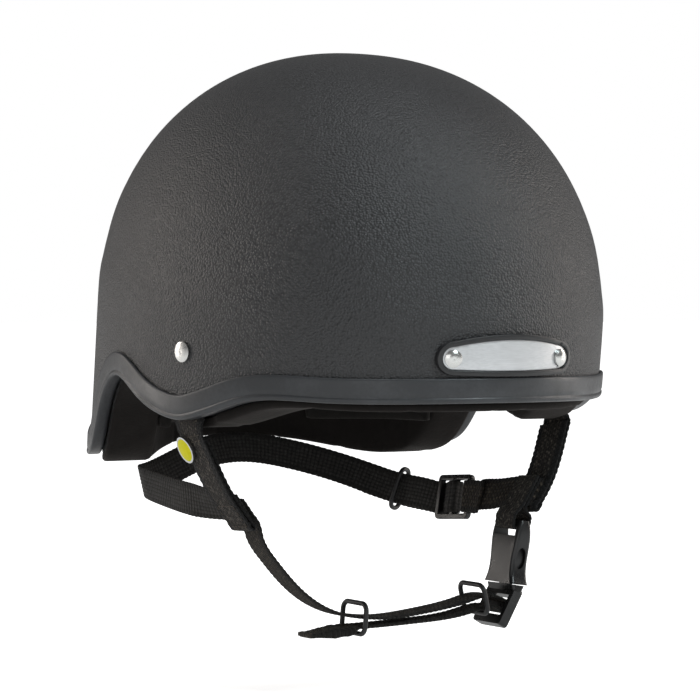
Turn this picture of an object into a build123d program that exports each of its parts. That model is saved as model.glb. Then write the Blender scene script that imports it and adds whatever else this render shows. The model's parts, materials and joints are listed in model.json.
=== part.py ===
from build123d import *
import os
from math import asin, ceil, cos, degrees, radians, sin

# A jockey skull cap, in millimetres, +Z up. The front faces -Y and the wearer's right is -X.
# The origin is the middle of the plane that the front rim's lower edge lies in.

# Shell: half of a full-bodied ellipsoid on an upright skirt, leaning forward
shell_length = 260.0
shell_width = 210.0
dome_height = 118.8
widest_height = 32.7
dome_power = 2.16
forward_lean = 6.9
shell_wall = 3.0
skirt_depth = 90.0
profile_steps = 10
overrun = 40.0
spread = 200.0

# Rim in side view: straight at the front, dipped at the temple, raised over the ear, low behind it
brow_reach = 66.0
temple_place = 32.0
temple_dip = 8.2
ear_place = 19.0
ear_rise = 9.3
lobe_place = 71.0
lobe_drop = 27.5
nape_place = 112.0
nape_drop = 19.0
rim_steps = 48
brow_line_shares = (0.35, 0.7)
dip_shares = ((0.36, 0.42), (0.68, 0.8))
climb_shares = ((0.22, 0.1), (0.588, 0.526))
fall_shares = ((0.29, 0.225), (0.48, 0.55), (0.69, 0.89))

# Edge trim: a rubber channel round the shell's edge
trim_height = 10.4
trim_lip = 1.6

# Liner, lining and pads
liner_thickness = 19.0
liner_rise = 1.0
seat_gap = 0.3
layer_space = 0.9
lining_thickness = 4.4
lining_drop = 3.4
lining_top = 46.0
channel_top = 34.0
channel_side_gap = 0.5
pad_thickness = 5.0
brow_pad_height = 26.0
brow_pad_half_angle = 48.0
neck_pad_height = 30.0
neck_pad_from_angle = 118.0
neck_pad_to_angle = 160.0
crown_pad_radius = 46.0
crown_pad_hole = 9.0
pad_edge_gap = 4.0

# Badge at the front: a raised bezel, a bare plate and two domed rivets, measured from the rivets
badge_up = 18.3
badge_rivet_pitch = 52.0
badge_end_radius = 6.9
badge_top = 9.6
badge_bottom = 7.6
bezel_proud = 2.4
bezel_rim = 2.1
plate_proud = 1.3
badge_rivet_width = 7.2
badge_rivet_rise = 1.7
touch_gap = 0.05

# Rivets and washers
temple_rivet_width = 8.6
temple_rivet_rise = 0.9
temple_rivet_angle = 73.7
temple_rivet_up = 20.3
rivet_dome_shares = (0.72, 0.66)
shank_width = 3.6
shank_clearance = 0.05
washer_width = 11.0
washer_thickness = 0.7
rivet_tail = 0.5
pocket_gap = 1.2

# Webbing: the doubled front straps and the narrower nape and chin straps
front_width = 20.0
front_thickness = 2.9
strap_width = 15.0
webbing = 1.4
layer_gap = 0.3
station_step = 4.0
strap_top_margin = 8.0
strap_exit = 3.8
lip_clear = 2.4
lip_approach = 6.0
washer_gap = 0.2
strap_doubling = 2.4

# Harness junction beside each jaw, with its twin mirrored
junction_side = 73.5
junction_front = 35.0
junction_drop = 52.0
junction_tail = 3.0
far_junction_tail = 0.1
junction_climb = 6.0
chin_climbs = (9.0, 5.0, 1.0, -3.0)
junction_cover = 7.0
front_strap_shares = ((1.204, 0.93, 0.519), (1.116, 0.971, 0.769))

# Nape strap: its reach to the side, to the back and down, and the outward lean of its top edge
nape_side = 78.0
nape_reach = 92.5
nape_low = 50.5
nape_lean = 37.0
nape_shares = (
    (1.0, -0.022, 0.877, 0.2), (0.987, 0.324, 0.824, 0.2),
    (0.904, 0.659, 0.786, 0.35), (0.731, 0.816, 0.77, 0.45),
    (0.5, 0.892, 0.663, 0.5), (0.256, 0.968, 0.57, 0.5), (0, 1.0, 0.547, 0.5), (-0.256, 0.978, 0.606, 0.5),
    (-0.5, 0.908, 0.709, 0.5), (-0.692, 0.811, 0.822, 0.5), (-0.833, 0.627, 0.937, 0.42),
    (-0.91, 0.411, 0.99, 0.35),
)
nape_tail_shares = (0.985, 0.955, 0.925, 0.895, 0.87)
nape_keeper_share = 0.93

# Triglide on the nape strap, from its rear end to its front end
slider_from_shares = (-0.908, 0.335, 1.0)
slider_to_shares = (-0.938, 0.076, 0.97)
slider_lean = 12.0
slider_width = 21.0
slider_length = 24.0
slider_thickness = 2.8
slider_bar = 2.4
slider_dive_shares = ((0.88, 1.0), (0.68, 0.45), (0.32, -0.5), (0.12, -1.0))
slider_corner = 2.4
anchor_climb = 8.0
anchor_shares = ((-0.953, 0.022, 0.955, 0.35), (-0.951, -0.13, 0.92, 0.6))
anchor_fold_shares = ((-0.903, -0.049, 0.96, 0.35),)
loop_climbs = (14.0, 10.0, 6.0, 2.5, -1.0)

# Chin strap: its reach to the side, to the front and down
chin_low = 96.5
chin_upper_shares = (
    (0.905, 1, 0.601), (0.81, 0.991, 0.71), (0.707, 0.98, 0.796), (0.599, 0.971, 0.87), (0.449, 0.954, 0.939),
    (0.327, 0.943, 0.972), (0.211, 0.943, 0.989), (0.027, 0.943, 1.0), (-0.182, 0.943, 0.99),
    (-0.395, 0.951, 0.97), (-0.544, 0.96, 0.948), (-0.65, 0.968, 0.93),
)
chin_lower_shares = (
    (-0.64, 0.968, 0.985), (-0.517, 0.96, 1.005), (-0.395, 0.951, 1.018), (-0.182, 0.943, 1.027),
    (0.027, 0.943, 1.032), (0.211, 0.943, 1.034),
)
chin_fold_shares = (
    (0.24, 0.943, 1.036, 1, 1), (0.264, 0.943, 1.044, 1, 2.8), (0.345, 0.943, 1.053, 1, 3.2),
    (0.43, 0.943, 1.055, 1, 2.9), (0.45, 0.943, 1.056, 0.85, 1.7), (0.55, 0.943, 1.058, 0.8, 1.6),
)

# Webbing that turns round a bar, as shares of its half width and half height there
wrap_shares = ((1, -1.3), (1, 0), (1, 0.45), (0.93, 0.8), (0.75, 0.97), (0.4, 1), (0, 1))
bar_clearance = 0.3

# Keeper rings
ring_wire = 2.2
ring_side_gap = 1.0
neck_ring_spare = 1.1
ring_corner = 3.6
ring_corner_share = 0.85
chin_ring_height = 11.0
tail_ring_shares = (0.211, 0.943, 0.995)
tail_ring_lean = 5.0
buckle_ring_shares = (-0.639, 0.965, 0.942)
buckle_ring_lean = -13.0

# Side-release buckle: sections are (width along the strap, thickness)
mouth_side = 64.1
mouth_front = 34.0
mouth_drop = 85.0
buckle_lean = 8.3
socket_length = 28.6
socket_mouth = (22.5, 9.6)
socket_waist = (18.6, 8.8)
socket_shoulder = (20.8, 7.6)
socket_top = (19.4, 5.6)
waist_share = 0.42
shoulder_share = 0.8
socket_corner = 1.8
cavity_width = 16.4
cavity_thickness = 5.6
cavity_depth = 19.4
window_height = 9.6
window_thickness = 5.0
window_up = 11.6
socket_slot_height = 4.4
socket_bar = 2.6
strap_slot_clearance = 0.5
tongue_width = 4.4
tongue_thickness = 4.2
tongue_length = 17.8
arm_place = 6.3
arm_root = 1.0
arm_thickness = 4.6
arm_width = 2.2
arm_length = 17.0
arm_button = 0.5
arm_shares = ((0.3, 0), (0.45, 0.6), (0.62, 1), (0.8, 0.7), (1, -1.4))
flange_section = (20.4, 7.4)
flange_depth = 3.0
flange_corner = 1.6
mouth_gap = 0.4
frame_turn = 22.0
frame_width = 21.0
frame_length = 17.0
frame_thickness = 4.6
frame_root = 1.6
frame_web = 2.6
frame_bar = 2.4
frame_bar_thickness = 3.0
frame_slot = 3.8
frame_corner = 1.8

# Button disc on the near front strap
disc_width = 12.0
disc_proud = 1.6
disc_floor = 0.6
disc_ring_wall = 0.9
disc_share = 0.545
disc_gap = 0.3
disc_back = 6.5
disc_face_rise = 0.5
disc_arch_shares = (0.6, 0.64)
stud_width = 3.0
stud_foot_width = 7.0
stud_foot = 0.8


# Body surface


def dome_share(rise, height):
    """The share of its widest radius that the dome keeps at a rise above its widest line."""
    if rise <= 0:
        return 1
    return max(0, 1 - (rise / height) ** dome_power) ** (1 / dome_power)


def cap_body(offset):
    """The cap's outside as one solid, grown or shrunk by an offset, with a long skirt to cut from."""
    length, width, height = shell_length / 2 + offset, shell_width / 2 + offset, dome_height + offset
    spots = [(0, height)]
    for step in range(1, profile_steps):
        turn = radians(90 * step / profile_steps)
        spots.append((length * sin(turn) ** (2 / dome_power), height * cos(turn) ** (2 / dome_power)))
    spots.append((length, 0))
    crown = Spline(*spots, tangents=((1, 0), (0, -1)))
    skirt = Polyline((length, 0), (length, -skirt_depth), (0, -skirt_depth), (0, height))
    round_body = revolve(Plane.XZ * make_face(crown + skirt), axis=Axis.Z)
    body = round_body.scale((width / length, 1, 1))
    return Pos(0, 0, widest_height) * Rot(forward_lean, 0, 0) * body


def body_ring(outer, inner):
    """The wall between two offsets of the cap's outside."""
    return cap_body(outer) - cap_body(inner)


def wall_plane(angle, up, offset=0):
    """A plane on the body, its normal outward, at an angle from the front towards the wearer's right."""
    length, width, height = shell_length / 2 + offset, shell_width / 2 + offset, dome_height + offset
    lean, turn = radians(forward_lean), radians(angle)
    rise = up - widest_height
    for _ in range(profile_steps):
        share = dome_share(rise, height)
        rise = (up - widest_height + length * share * cos(turn) * sin(lean)) / cos(lean)
    share = dome_share(rise, height)
    side, back = -width * share * sin(turn), -length * share * cos(turn)
    spot = Vector(side, back, rise).rotate(Axis.X, forward_lean) + Vector(0, 0, widest_height)
    steep = max(rise, 0) ** (dome_power - 1) / height ** dome_power
    flat = Vector(side / width ** 2, back / length ** 2, 0) * share ** (dome_power - 2)
    normal = (flat + Vector(0, 0, steep)).rotate(Axis.X, forward_lean)
    along = Vector(0, 0, 1).cross(normal)
    return Plane(origin=spot, x_dir=along, z_dir=normal)


# Rim


def rim_points():
    """The rim's side view as (back, up) spots, from in front of the shell to behind it."""
    half = shell_length / 2
    climb = temple_place + ear_place
    fall = ear_rise + lobe_drop
    spots = [(-half - overrun, 0)]
    spots += [(-half - overrun + share * (half + overrun - brow_reach), 0) for share in brow_line_shares]
    spots.append((-brow_reach, 0))
    spots += [(-brow_reach + a * (brow_reach - temple_place), -b * temple_dip) for a, b in dip_shares]
    spots.append((-temple_place, -temple_dip))
    spots += [(-temple_place + a * climb, -temple_dip + b * (temple_dip + ear_rise)) for a, b in climb_shares]
    spots.append((ear_place, ear_rise))
    spots += [(ear_place + a * (lobe_place - ear_place), ear_rise - b * fall) for a, b in fall_shares]
    spots.append((lobe_place, -lobe_drop))
    spots.append((nape_place, -nape_drop))
    spots.append((half + overrun, -nape_drop))
    return spots


def above_rim(lift):
    """Everything above the rim, whose side view is lifted square to itself."""
    rim = Spline(*rim_points(), tangents=((1, 0), (1, 0)))
    spots = []
    for step in range(rim_steps + 1):
        spot = rim.position_at(step / rim_steps)
        slope = rim.tangent_at(step / rim_steps)
        spots.append((spot.X - lift * slope.Y, spot.Y + lift * slope.X))
    first, last = spots[0], spots[-1]
    top = Polyline(last, (last[0], spread), (first[0], spread), first)
    return extrude(Plane.YZ * make_face(Spline(*spots) + top), amount=spread, both=True)


def rim_band(low, high):
    """The band between two lifts of the rim."""
    return above_rim(low) - above_rim(high)


# Shell, trim, liner, lining and pads


def shank_hole(angle, up, reach):
    """A hole for a rivet's shank, square to the shell."""
    return wall_plane(angle, up) * Cylinder(shank_width / 2 + shank_clearance, 2 * reach)


def badge_rivet_angle():
    """The angle from the front at which a badge rivet sits."""
    return degrees(asin(badge_rivet_pitch / shell_width))


def outer_shell():
    """The hard shell, open below, with its rivet holes."""
    shell = body_ring(0, -shell_wall) & above_rim(trim_lip)
    for side in (1, -1):
        shell -= shank_hole(side * temple_rivet_angle, temple_rivet_up, overrun / 2)
        shell -= shank_hole(side * badge_rivet_angle(), badge_up, overrun / 2)
    return shell


def edge_trim():
    """The rubber channel that holds the shell's edge between its lips."""
    channel = body_ring(trim_lip, -shell_wall - trim_lip) & rim_band(0, trim_height)
    groove = body_ring(touch_gap, -shell_wall - touch_gap) & above_rim(trim_lip - touch_gap)
    return channel - groove


def liner_inside():
    """The offset of the liner's inner face."""
    return -shell_wall - layer_space - liner_thickness


def strap_bow():
    """How far the shell curves away from a flat strap at the strap's edges."""
    return (front_width / 2) ** 2 / shell_length


def high_strap_depth():
    """The depth of the front strap's middle below the shell's outside, above the trim."""
    return shell_wall + seat_gap + strap_bow() + webbing / 2


def low_strap_depth():
    """The depth of the front strap's middle where it passes inside the trim's lip."""
    return high_strap_depth() + trim_lip


def strap_channel(side):
    """The moulded channel in the liner and lining that the front strap runs down."""
    depth = low_strap_depth() + webbing / 2 + seat_gap
    top = wall_plane(side * temple_rivet_angle, channel_top)
    down = wall_plane(side * temple_rivet_angle, -channel_top).origin - top.origin
    plane = Plane(origin=top.origin, x_dir=top.x_dir, z_dir=down)
    channel = Box(front_width + 2 * channel_side_gap, 2 * depth, down.length)
    return plane * Pos(0, 0, down.length / 2) * channel


def lip_rebate():
    """The step round the liner's lower edge that clears the trim's inner lip."""
    outside = -shell_wall - trim_lip - layer_space
    return body_ring(0, outside) & rim_band(-overrun / 2, trim_height + layer_space)


def tail_pocket(plane, washer_depth):
    """The pocket in the liner round a washer and the rivet's tail."""
    depth = washer_depth + washer_thickness + rivet_tail + seat_gap
    return plane * Pos(0, 0, -depth / 2) * Cylinder(washer_width / 2 + pocket_gap, depth)


def impact_liner():
    """The foam liner, with its strap channels and a pocket round each rivet's tail."""
    liner = body_ring(-shell_wall - layer_space, liner_inside()) & above_rim(liner_rise)
    liner -= lip_rebate()
    for side in (1, -1):
        liner -= strap_channel(side)
    for plane in badge_planes():
        liner -= tail_pocket(plane, badge_washer_depth())
    for plane in temple_planes():
        liner -= tail_pocket(plane, temple_washer_depth())
    return liner


def comfort_lining():
    """The padded headband lining, turned out under the liner's lower edge."""
    inside = liner_inside() - layer_space
    hem = -shell_wall - trim_lip - layer_space
    blank = body_ring(hem, inside - lining_thickness) & above_rim(-lining_drop)
    lining = blank - (above_rim(liner_rise - layer_space) - cap_body(inside))
    lining -= Pos(0, 0, lining_top + spread / 2) * Box(2 * spread, 2 * spread, spread)
    for side in (1, -1):
        lining -= strap_channel(side)
    return lining


def wedge(from_angle, to_angle, low, high):
    """A pie slice about the Z axis, between two angles from the front and two heights."""
    middle = (from_angle + to_angle) / 2
    spots = [(0, 0)]
    for angle in (from_angle, middle, to_angle):
        spots.append((-spread * sin(radians(angle)), -spread * cos(radians(angle))))
    return Pos(0, 0, low) * extrude(make_face(Polyline(*spots, close=True)), amount=high - low)


def pad_ring():
    """The space that the loose pads fill, inside the lining."""
    outside = liner_inside() - layer_space - lining_thickness - layer_space
    return body_ring(outside, outside - pad_thickness)


def brow_pad():
    """The sweat pad across the forehead."""
    low = pad_edge_gap
    return pad_ring() & wedge(-brow_pad_half_angle, brow_pad_half_angle, low, low + brow_pad_height)


def neck_pads():
    """Two pads inside the rear lobes."""
    low = -nape_drop + pad_edge_gap
    right = pad_ring() & wedge(neck_pad_from_angle, neck_pad_to_angle, low, low + neck_pad_height)
    return [right, right.mirror(Plane.YZ)]


def crown_pad():
    """The round pad at the crown, with its middle hole."""
    outside = liner_inside() - layer_space
    dome = body_ring(outside, outside - pad_thickness)
    tube = Cylinder(crown_pad_radius, 2 * spread) - Cylinder(crown_pad_hole, 2 * spread)
    above = Pos(0, 0, widest_height + spread / 2) * Box(spread, spread, spread)
    return dome & tube & above


# Badge and rivets


def badge_outline(inset):
    """The badge's front view: round ends about the rivets, an arched top and a flatter foot."""
    pitch, end = badge_rivet_pitch / 2, badge_end_radius - inset
    foot = ThreePointArc((-pitch, -end), (0, inset - badge_bottom), (pitch, -end))
    left_turn = ThreePointArc(foot @ 1, (pitch + end, 0), (pitch, end))
    top = ThreePointArc(left_turn @ 1, (0, badge_top - inset), (-pitch, end))
    right_turn = ThreePointArc(top @ 1, (-pitch - end, 0), foot @ 0)
    return make_face(foot + left_turn + top + right_turn)


def badge_block(inset):
    """The badge's outline carried straight back through the shell."""
    front = Plane(origin=(0, 0, badge_up), x_dir=(1, 0, 0), z_dir=(0, -1, 0))
    return extrude(front * badge_outline(inset), amount=spread)


def badge_bezel():
    """The raised frame that follows the shell round the badge."""
    rim = badge_block(0) - badge_block(bezel_rim)
    return body_ring(bezel_proud, touch_gap) & rim


def badge_plate():
    """The bare plate inside the bezel, with holes for its rivets."""
    plate = body_ring(plate_proud, touch_gap) & badge_block(bezel_rim + touch_gap)
    for side in (1, -1):
        plate -= shank_hole(side * badge_rivet_angle(), badge_up, overrun / 2)
    return plate


def domed_disc(radius, thickness, rise, shares):
    """A disc with an arched top, standing on its plane."""
    across, up = shares
    side = Polyline((radius, thickness), (radius, 0), (0, 0), (0, thickness + rise))
    arch = ThreePointArc(side @ 1, (radius * across, thickness + rise * up), side @ 0)
    return revolve(Plane.XZ * make_face(side + arch), axis=Axis.Z)


def rivet(plane, seat, width, rise, depth):
    """A domed rivet: its head sits at a seat above the plane and its shank ends at a depth below it."""
    brim = rise / 2
    head = domed_disc(width / 2, brim, rise - brim, rivet_dome_shares)
    shank = Pos(0, 0, -(seat + depth) / 2) * Cylinder(shank_width / 2, seat + depth)
    return plane * Pos(0, 0, seat) * (head + shank)


def washer(plane, depth):
    """A washer round a rivet's shank, its outer face at a depth below the plane."""
    ring = Cylinder(washer_width / 2, washer_thickness)
    ring -= Cylinder(shank_width / 2 + shank_clearance, overrun)
    return plane * Pos(0, 0, -depth - washer_thickness / 2) * ring


def badge_planes():
    """Where the two badge rivets go through the shell."""
    return [wall_plane(side * badge_rivet_angle(), badge_up) for side in (1, -1)]


def temple_planes():
    """Where the two temple rivets go through the shell."""
    return [wall_plane(side * temple_rivet_angle, temple_rivet_up) for side in (1, -1)]


def badge_washer_depth():
    """How far behind the shell's outside a badge washer starts."""
    return shell_wall + seat_gap


def temple_washer_depth():
    """How far behind the shell's outside a temple washer starts, past the webbing."""
    return high_strap_depth() + webbing / 2 + washer_gap


def badge_rivets():
    """The two domed rivets of the badge."""
    depth = badge_washer_depth() + washer_thickness + rivet_tail
    seat = plate_proud + touch_gap
    return [rivet(plane, seat, badge_rivet_width, badge_rivet_rise, depth) for plane in badge_planes()]


def temple_rivets():
    """The two flat-headed rivets that hold the front straps."""
    depth = temple_washer_depth() + washer_thickness + rivet_tail
    return [rivet(plane, seat_gap, temple_rivet_width, temple_rivet_rise, depth) for plane in temple_planes()]


def badge_washers():
    """The washers behind the badge rivets."""
    return [washer(plane, badge_washer_depth()) for plane in badge_planes()]


def temple_washers():
    """The washers behind the front straps."""
    return [washer(plane, temple_washer_depth()) for plane in temple_planes()]


# Webbing


def at(side, front, up):
    """A spot by its distance to the wearer's right, to the front and up."""
    return Vector(-side, -front, up)


def knot(spot, across, width=strap_width, thickness=webbing):
    """One place on a strap: its middle, the direction of its width, and its section."""
    return (spot, across, width, thickness)


def strap_path(knots):
    """The smooth line through a strap's knots."""
    return Spline(*[spot for spot, across, width, thickness in knots])


def section_at(knots, share):
    """The width's direction and the size of a strap at a share of the way through its knots."""
    reach = [0]
    for before, after in zip(knots, knots[1:]):
        reach.append(reach[-1] + (after[0] - before[0]).length)
    place = 0
    while place < len(knots) - 2 and reach[place + 1] < share * reach[-1]:
        place += 1
    blend = (share * reach[-1] - reach[place]) / (reach[place + 1] - reach[place])
    pairs = zip(knots[place][1:], knots[place + 1][1:])
    mixed = [before * (1 - blend) + after * blend for before, after in pairs]
    return mixed, [length / reach[-1] for length in reach]


def ribbon(knots):
    """A flat strap: rectangles stand square to a smooth line through the knots and are joined up."""
    path = strap_path(knots)
    count = ceil(path.length / station_step)
    shares = {step / count for step in range(count + 1)}
    shares |= set(section_at(knots, 0)[1])
    near = station_step / path.length / 8
    kept = []
    for share in sorted(shares):
        if not kept or share - kept[-1] > near:
            kept.append(share)
    kept[-1] = 1
    sections = []
    for share in kept:
        across, width, thickness = section_at(knots, share)[0]
        ahead = path.tangent_at(share)
        level = (across - ahead * across.dot(ahead)).normalized()
        plane = Plane(origin=path.position_at(share), x_dir=level, z_dir=ahead)
        sections.append(plane * Rectangle(width, thickness))
    return loft(sections, ruled=True)


def junction(side=1):
    """Where the straps meet beside the jaw; side is 1 for the wearer's right and -1 for the left."""
    return at(side * junction_side, junction_front, -junction_drop)


def knee_spots(side):
    """The front strap's free places between the shell and the junction."""
    spots = []
    for out, front, down in front_strap_shares:
        spots.append(at(side * out * junction_side, front * junction_front, -down * junction_drop))
    return spots


def strap_up(side=1):
    """The direction in which the front strap climbs away from its junction."""
    return (knee_spots(side)[-1] - junction(side)).normalized()


def strap_out(side=1):
    """The direction away from the face, square to the front strap at its junction."""
    return Vector(0, side, 0).cross(strap_up(side)).normalized() * -1


def layer(number, side=1, climb=0):
    """The middle of a webbing layer at the junction, counted inwards from the doubled front strap."""
    inward = front_thickness / 2 + (number - 0.5) * webbing + number * layer_gap
    return junction(side) - strap_out(side) * inward + strap_up(side) * climb


def front_strap_knots(side):
    """Knots of the front strap: in the shell, inside the trim's lip, and down to the junction."""
    rearward = Vector(0, 1, 0)
    top = temple_rivet_up + strap_top_margin
    inner = trim_height - temple_dip + lip_clear
    middle = inner + lip_approach
    bottom = -temple_dip - strap_exit
    seats = [(up, high_strap_depth()) for up in (top, (top + middle) / 2, middle)]
    seats += [(up, low_strap_depth()) for up in (inner, -temple_dip / 2, bottom)]
    knots = []
    for up, depth in seats:
        plane = wall_plane(side * temple_rivet_angle, up)
        across = plane.x_dir if plane.x_dir.Y > 0 else plane.x_dir * -1
        knots.append(knot(plane.origin - plane.z_dir * depth, across, front_width))
    low = knots[-1][0]
    first = knee_spots(side)[0]
    doubled = low + (first - low).normalized() * strap_doubling
    knots.append(knot(doubled, rearward, front_width, front_thickness))
    end = junction(side) - strap_up(side) * (junction_tail if side > 0 else far_junction_tail)
    for spot in knee_spots(side) + [junction(side), end]:
        knots.append(knot(spot, rearward, front_width, front_thickness))
    return knots


def front_strap(side):
    """The strap from the temple rivet down to the junction, doubled outside the shell."""
    strap = ribbon(front_strap_knots(side))
    strap -= shank_hole(side * temple_rivet_angle, temple_rivet_up, overrun / 2)
    return strap


def front_strap_right():
    """The near front strap, with the hole for the button disc's stud."""
    hole = disc_plane() * Cylinder(stud_width / 2 + shank_clearance, 2 * front_thickness)
    return front_strap(1) - hole


# Button disc


def disc_plane():
    """The button disc's place on the middle of the near front strap, its normal away from the face."""
    path = strap_path(front_strap_knots(1))
    down = path.tangent_at(disc_share)
    rearward = Vector(0, 1, 0)
    across = (rearward - down * rearward.dot(down)).normalized()
    normal = across.cross(down)
    outward = normal if normal.X < 0 else normal * -1
    return Plane(origin=path.position_at(disc_share) + across * disc_back, x_dir=across, z_dir=outward)


def disc_seat():
    """The plane on the webbing's outer face that the button disc sits on."""
    return Plane(disc_plane().location * Pos(0, 0, front_thickness / 2 + disc_gap))


def strap_disc_ring():
    """The button's cup, whose wall shows as a ring round the disc."""
    cup = Pos(0, 0, disc_proud / 2) * Cylinder(disc_width / 2, disc_proud)
    hollow = Pos(0, 0, disc_floor + disc_proud / 2) * Cylinder(disc_width / 2 - disc_ring_wall, disc_proud)
    return disc_seat() * (cup - hollow)


def strap_disc():
    """The slightly domed disc inside the cup."""
    radius = disc_width / 2 - disc_ring_wall - touch_gap
    face = domed_disc(radius, disc_proud - disc_floor - touch_gap, disc_face_rise, disc_arch_shares)
    return disc_seat() * Pos(0, 0, disc_floor + touch_gap) * face


def strap_disc_stud():
    """The stud that holds the button through the webbing, with its foot inside."""
    length = front_thickness + 2 * disc_gap
    shank = Pos(0, 0, -length / 2) * Cylinder(stud_width / 2, length)
    foot = Pos(0, 0, -length - stud_foot / 2) * Cylinder(stud_foot_width / 2, stud_foot)
    return disc_seat() * (shank + foot)


# Buckle


def buckle_frame(up=0):
    """The buckle's own plane at a height above its mouth: x away from the face, z up along the buckle."""
    lean = radians(buckle_lean)
    axis = Vector(sin(lean), 0, cos(lean))
    mouth = at(-mouth_side, mouth_front, -mouth_drop)
    return Plane(origin=mouth + axis * up, x_dir=Vector(cos(lean), 0, -sin(lean)), z_dir=axis)


def buckle_section(up, size, corner):
    """A rounded section across the buckle; size is its width along the strap and its thickness."""
    width, thickness = size
    return buckle_frame(up) * RectangleRounded(thickness, width, corner)


def buckle_socket():
    """The moulded socket: waisted, hollow, with side windows and a slot under its top bar."""
    sections = [
        buckle_section(0, socket_mouth, socket_corner),
        buckle_section(socket_length * waist_share, socket_waist, socket_corner),
        buckle_section(socket_length * shoulder_share, socket_shoulder, socket_corner),
        buckle_section(socket_length, socket_top, socket_corner),
    ]
    socket = loft(sections)
    socket -= buckle_frame(cavity_depth / 2) * Box(cavity_thickness, cavity_width, cavity_depth)
    opening = Ellipse(window_thickness / 2, window_height / 2)
    socket -= buckle_frame(window_up) * extrude(Plane.XZ * opening, amount=overrun / 2, both=True)
    slot_middle = socket_length - socket_bar - socket_slot_height / 2
    slot = Box(overrun, strap_width + 2 * strap_slot_clearance, socket_slot_height)
    return socket - buckle_frame(slot_middle) * slot


def prong_frame_plane():
    """The strap frame's plane, turned inwards below the prong's flange: x away from the face, z up."""
    return Plane(buckle_frame(-mouth_gap - flange_depth).location * Rot(0, frame_turn, 0))


def frame_bar_down():
    """How far the frame's middle bar lies below the flange."""
    return frame_web + frame_slot + frame_bar / 2


def strap_frame():
    """The prong's frame: two slots, with a thinner bar between them for the webbing."""
    slot_width = strap_width + 2 * strap_slot_clearance
    outline = Pos((frame_root - frame_length) / 2, 0)
    outline *= RectangleRounded(frame_length + frame_root, frame_width, frame_corner)
    for number in (0, 1):
        middle = frame_web + frame_slot / 2 + number * (frame_slot + frame_bar)
        outline -= Pos(-middle, 0) * Rectangle(frame_slot, slot_width)
    frame = extrude(outline, amount=frame_thickness / 2, both=True)
    recess = Box(frame_bar + 2 * frame_slot, slot_width, frame_thickness)
    for face in (1, -1):
        frame -= Pos(-frame_bar_down(), 0, face * (frame_bar_thickness + frame_thickness) / 2) * recess
    plane = prong_frame_plane()
    return Plane(origin=plane.origin, x_dir=plane.z_dir, z_dir=plane.x_dir) * frame


def buckle_prong():
    """The prong half: a guide tongue, a tapered flange and the turned strap frame."""
    top, bottom = -mouth_gap, -mouth_gap - flange_depth
    narrow = (frame_width, frame_thickness)
    flange = loft([
        buckle_section(top, flange_section, flange_corner),
        buckle_section(bottom, narrow, flange_corner),
    ])
    reach = tongue_length - bottom - flange_depth / 2
    tongue = buckle_frame(tongue_length - reach / 2) * Box(tongue_thickness, tongue_width, reach)
    return flange + tongue + strap_frame()


def arm_outline():
    """A latch arm's front view: a round root, a straight arm and a bulged button."""
    half = arm_width / 2
    inner, outer = arm_place - half, arm_place + half
    spots = [(outer, arm_root)]
    for up, bulge in arm_shares:
        spots.append((outer + bulge * arm_button, arm_root + up * arm_length))
    edge = Spline(*spots, tangents=((0, 1), (-1, 1)))
    back = Polyline(edge @ 1, (inner, arm_root + arm_length), (inner, arm_root))
    foot = ThreePointArc(back @ 1, (arm_place, arm_root - half), edge @ 0)
    return make_face(edge + back + foot)


def latch_arm(side):
    """One sprung arm of the prong; side is 1 for the rear one and -1 for the front one."""
    base = buckle_frame()
    arm = extrude(arm_outline(), amount=arm_thickness / 2, both=True)
    if side < 0:
        arm = arm.mirror(Plane.YZ)
    return Plane(origin=base.origin, x_dir=Vector(0, 1, 0), z_dir=base.x_dir) * arm


# Straps that turn round bars


def turn(plane, half_width, half_height, side=1):
    """Knots of webbing round a bar: it goes down past +x of the bar's plane and back up past -x."""
    shares = wrap_shares + tuple((-out, down) for out, down in reversed(wrap_shares[:-1]))
    knots = []
    for out, down in shares:
        spot = plane.origin + plane.x_dir * (side * out * half_width) - plane.z_dir * (down * half_height)
        knots.append(knot(spot, plane.y_dir))
    return knots


def bar_gap(thickness):
    """How far the middle of the webbing lies from the middle of a bar that it turns round."""
    return thickness / 2 + bar_clearance + webbing / 2


def socket_bar_thickness():
    """The socket's thickness at its top bar's lower edge."""
    below = socket_shoulder[1] - socket_top[1]
    return socket_top[1] + below * socket_bar / (socket_length - socket_length * shoulder_share)


def buckle_loop():
    """The short loop that hangs the socket from the left junction, round the socket's top bar."""
    bar = buckle_frame(socket_length - socket_bar / 2)
    across = bar.y_dir
    outer = [knot(layer(2, -1, climb), across) for climb in loop_climbs]
    inner = [knot(layer(3, -1, climb), across) for climb in reversed(loop_climbs)]
    return ribbon(outer + turn(bar, bar_gap(socket_bar_thickness()), bar_gap(socket_bar)) + inner)


def chin_spot(side, front, down):
    """A place on the chin strap by its shares."""
    return at(side * junction_side, front * junction_front, -down * chin_low)


def chin_strap():
    """The chin strap: from the right junction to the prong's bar, round it, and back as the loose tail."""
    across = Vector(0, 1, 0)
    knots = [knot(layer(2, 1, climb), across) for climb in chin_climbs]
    knots += [knot(chin_spot(*shares), across) for shares in chin_upper_shares]
    plane = prong_frame_plane()
    middle = plane.origin - plane.z_dir * frame_bar_down()
    bar = Plane(origin=middle, x_dir=plane.z_dir, z_dir=plane.x_dir * -1)
    knots += turn(bar, bar_gap(frame_bar), bar_gap(frame_bar_thickness))
    knots += [knot(chin_spot(*shares), across) for shares in chin_lower_shares]
    for side, front, down, wide, thick in chin_fold_shares:
        knots.append(knot(chin_spot(side, front, down), across, strap_width * wide, webbing * thick))
    return ribbon(knots)


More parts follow.
